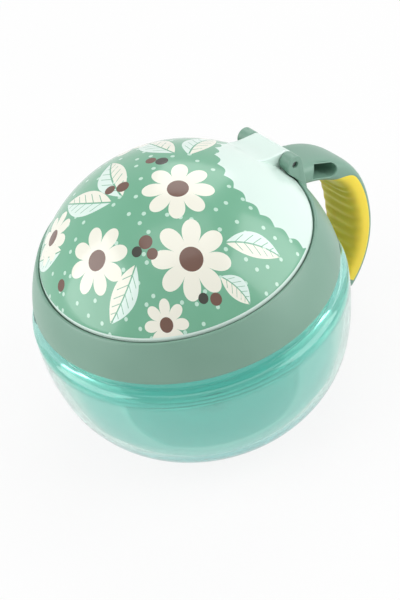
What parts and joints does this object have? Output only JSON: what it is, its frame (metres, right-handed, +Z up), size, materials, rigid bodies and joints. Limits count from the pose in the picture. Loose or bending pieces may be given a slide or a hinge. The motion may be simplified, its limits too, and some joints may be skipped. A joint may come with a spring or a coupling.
{
  "type": "toddler snack cup",
  "caption": "Ball-shaped snack cup with a screw collar, domed flip lid on a rear pin, soft petal insert and an open handle with a ribbed grip.",
  "frame": {"origin": "on the cup's axis, in the plane of the base it rests on", "axes": "+Z up along the cup's axis, +Y towards the hinge and the handle, X along the hinge pin"},
  "size_m": [0.095, 0.1144, 0.0861],
  "materials": {
    "clear_teal": "polished translucent plastic, tinted teal",
    "soft_white": "matt food-grade silicone",
    "sage": "satin moulded plastic, sage green",
    "pin_steel": "plain steel wire",
    "soft_yellow": "soft overmoulded rubber, mustard yellow",
    "mint": "polished plastic with a printed top"
  },
  "bodies": {
    "cup": {"bowl": "clear_teal"},
    "seal_ring": {"seal": "soft_white"},
    "collar": {"collar": "sage", "handle": "sage", "grip": "soft_yellow", "hinge_pin": "pin_steel", "insert": "soft_white"},
    "lid": {"lid": "mint"},
    "petal_1": {"petal_1": "soft_white"},
    "petal_2": {"petal_2": "soft_white"},
    "petal_3": {"petal_3": "soft_white"},
    "petal_4": {"petal_4": "soft_white"},
    "petal_5": {"petal_5": "soft_white"},
    "petal_6": {"petal_6": "soft_white"}
  },
  "joints": [
    {"name": "collar_rise", "type": "slide", "parent": "cup", "child": "seal_ring", "axis": [0, 0, 1], "range_m": [0, 0.009]},
    {"name": "collar_turn", "type": "hinge", "parent": "seal_ring", "child": "collar", "pos_m": [0, 0, 0.058], "axis": [0, 0, 1], "range_deg": [0, 540]},
    {"name": "lid_hinge", "type": "hinge", "parent": "collar", "child": "lid", "pos_m": [0, 0.03833, 0.06956], "axis": [-1, 0, 0], "range_deg": [0, 125]},
    {"name": "petal_1_bend", "type": "hinge", "parent": "collar", "child": "petal_1", "pos_m": [0.03036, -0.00067, 0.05699], "axis": [0, -0.9992, -0.0401], "range_deg": [-20, 45], "stiffness_Nm_per_rad": 0.01},
    {"name": "petal_2_bend", "type": "hinge", "parent": "collar", "child": "petal_2", "pos_m": [0.01518, 0.0256, 0.05804], "axis": [0.866, -0.4996, -0.0201], "range_deg": [-20, 45], "stiffness_Nm_per_rad": 0.01},
    {"name": "petal_3_bend", "type": "hinge", "parent": "collar", "child": "petal_3", "pos_m": [-0.01518, 0.0256, 0.05804], "axis": [0.866, 0.4996, 0.0201], "range_deg": [-20, 45], "stiffness_Nm_per_rad": 0.01},
    {"name": "petal_4_bend", "type": "hinge", "parent": "collar", "child": "petal_4", "pos_m": [-0.03036, -0.00067, 0.05699], "axis": [0, 0.9992, 0.0401], "range_deg": [-20, 45], "stiffness_Nm_per_rad": 0.01},
    {"name": "petal_5_bend", "type": "hinge", "parent": "collar", "child": "petal_5", "pos_m": [-0.01518, -0.02694, 0.05593], "axis": [-0.866, 0.4996, 0.0201], "range_deg": [-20, 45], "stiffness_Nm_per_rad": 0.01},
    {"name": "petal_6_bend", "type": "hinge", "parent": "collar", "child": "petal_6", "pos_m": [0.01518, -0.02694, 0.05593], "axis": [-0.866, -0.4996, -0.0201], "range_deg": [-20, 45], "stiffness_Nm_per_rad": 0.01}
  ],
  "couplings": [
    {"joint": "collar_rise", "follows": "collar_turn", "m_per_rad": 0.00095493}
  ]
}
